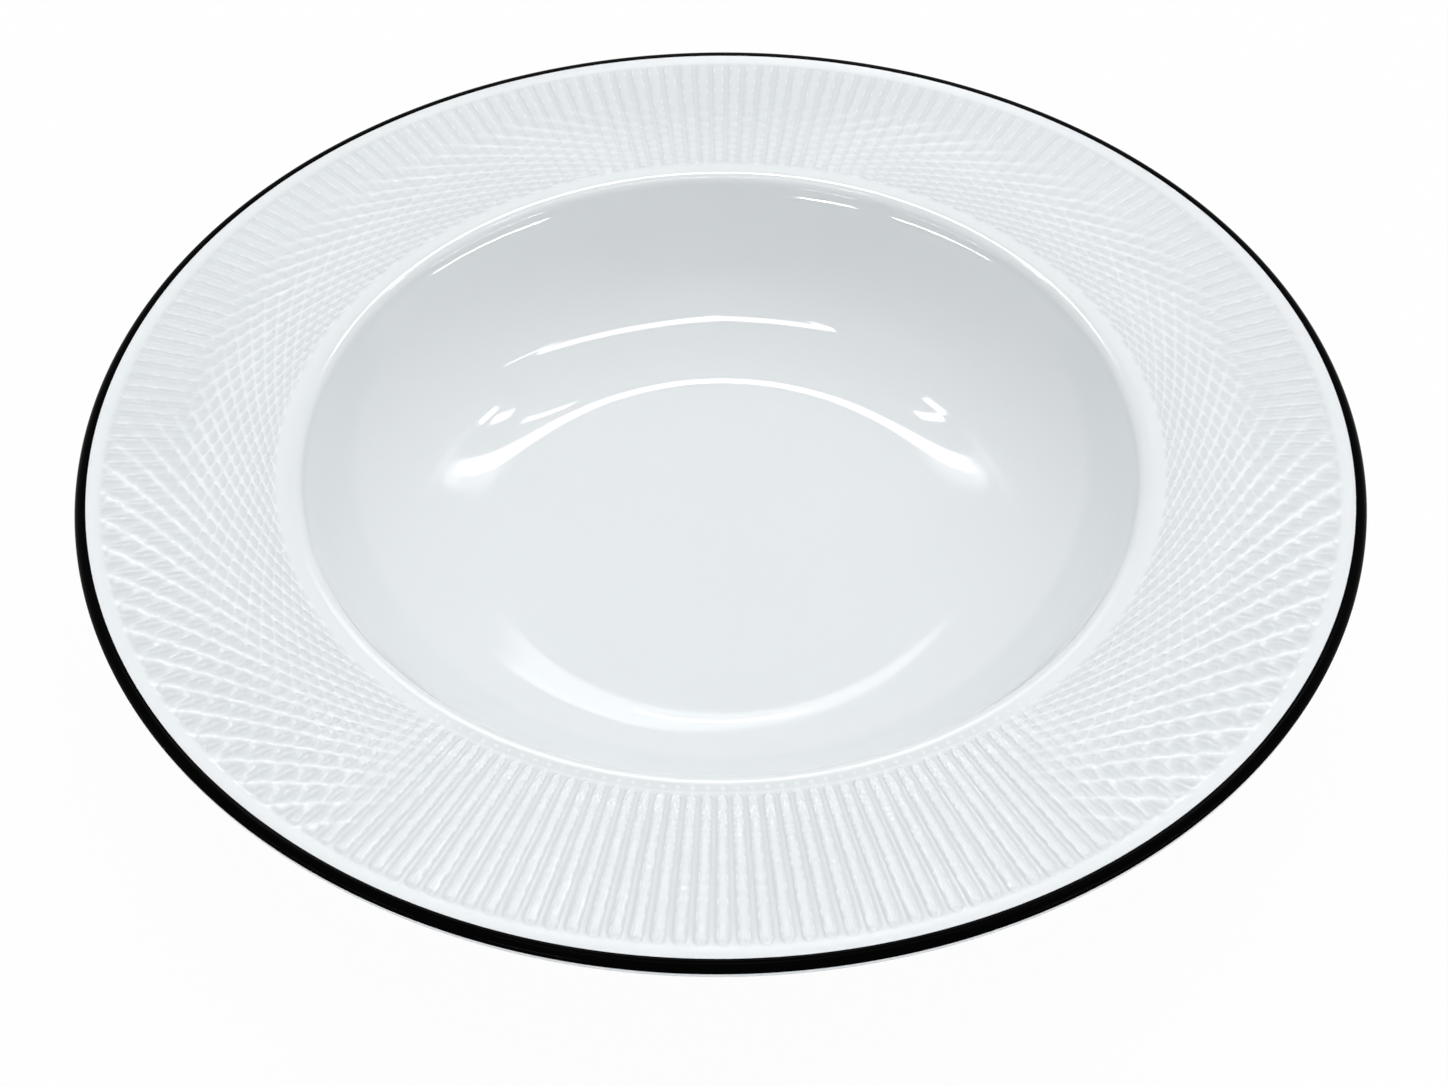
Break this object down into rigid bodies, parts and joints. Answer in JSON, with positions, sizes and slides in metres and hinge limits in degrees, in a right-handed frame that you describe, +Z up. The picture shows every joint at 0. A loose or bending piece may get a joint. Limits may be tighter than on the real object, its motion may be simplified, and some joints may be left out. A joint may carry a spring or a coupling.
{
  "type": "rimmed soup plate",
  "caption": "Rimmed soup plate in white glazed porcelain, with a wide ribbed rim, a deep round bowl, a foot ring and a black line round the lip.",
  "frame": {"origin": "on the table, under the middle of the plate", "axes": "+Z up along the plate's axis; the plate is round, so +X and +Y have no front"},
  "size_m": [0.2399, 0.24, 0.0339],
  "materials": {
    "bisque": "matt fired porcelain, bare on the foot ring",
    "white_glaze": "glossy white glaze",
    "black_enamel": "glossy black enamel"
  },
  "bodies": {
    "root": {"porcelain_body": "bisque", "glaze_coat": "white_glaze", "edge_line": "black_enamel"}
  },
  "joints": []
}
